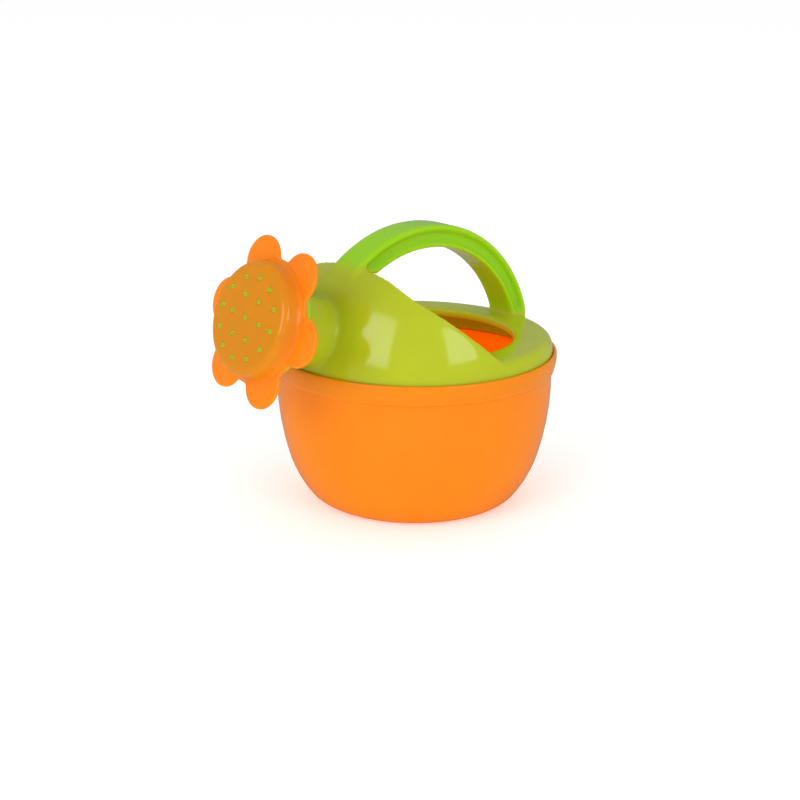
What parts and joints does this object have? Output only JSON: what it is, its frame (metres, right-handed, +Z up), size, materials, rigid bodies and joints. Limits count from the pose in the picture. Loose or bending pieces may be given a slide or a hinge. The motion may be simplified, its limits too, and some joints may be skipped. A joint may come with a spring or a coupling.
{
  "type": "toy watering can",
  "caption": "Small toy watering can: round pot, push-fit cover moulded with hood, arch handle and spout neck, and a flower-shaped rose.",
  "frame": {"origin": "centre of the pot's flat base, on the surface it stands on", "axes": "+Z up along the pot's axis, spout and rose towards -X, the handle's arch in the XZ plane, +Y to the can's side"},
  "size_m": [0.1173, 0.0924, 0.0916],
  "materials": {
    "pot_plastic": "glossy orange polypropylene",
    "cover_plastic": "glossy lime-green polypropylene",
    "cup_plastic": "glossy lime-green polypropylene",
    "flower_plastic": "glossy orange polypropylene"
  },
  "bodies": {
    "pot": {"pot": "pot_plastic"},
    "cover": {"cover": "cover_plastic"},
    "rose_cup": {"rose_cup": "cup_plastic"},
    "flower": {"flower": "flower_plastic"}
  },
  "joints": [
    {"name": "cover_lift", "type": "slide", "parent": "pot", "child": "cover", "axis": [0, 0, 1], "range_m": [0, 0.025]},
    {"name": "rose_pull", "type": "slide", "parent": "cover", "child": "rose_cup", "axis": [-0.9449, 0, 0.3272], "range_m": [0, 0.012]},
    {"name": "rose_turn", "type": "hinge", "parent": "rose_cup", "child": "flower", "pos_m": [-0.0666, 0, 0.06995], "axis": [-0.9449, 0, 0.3272], "continuous": true}
  ]
}
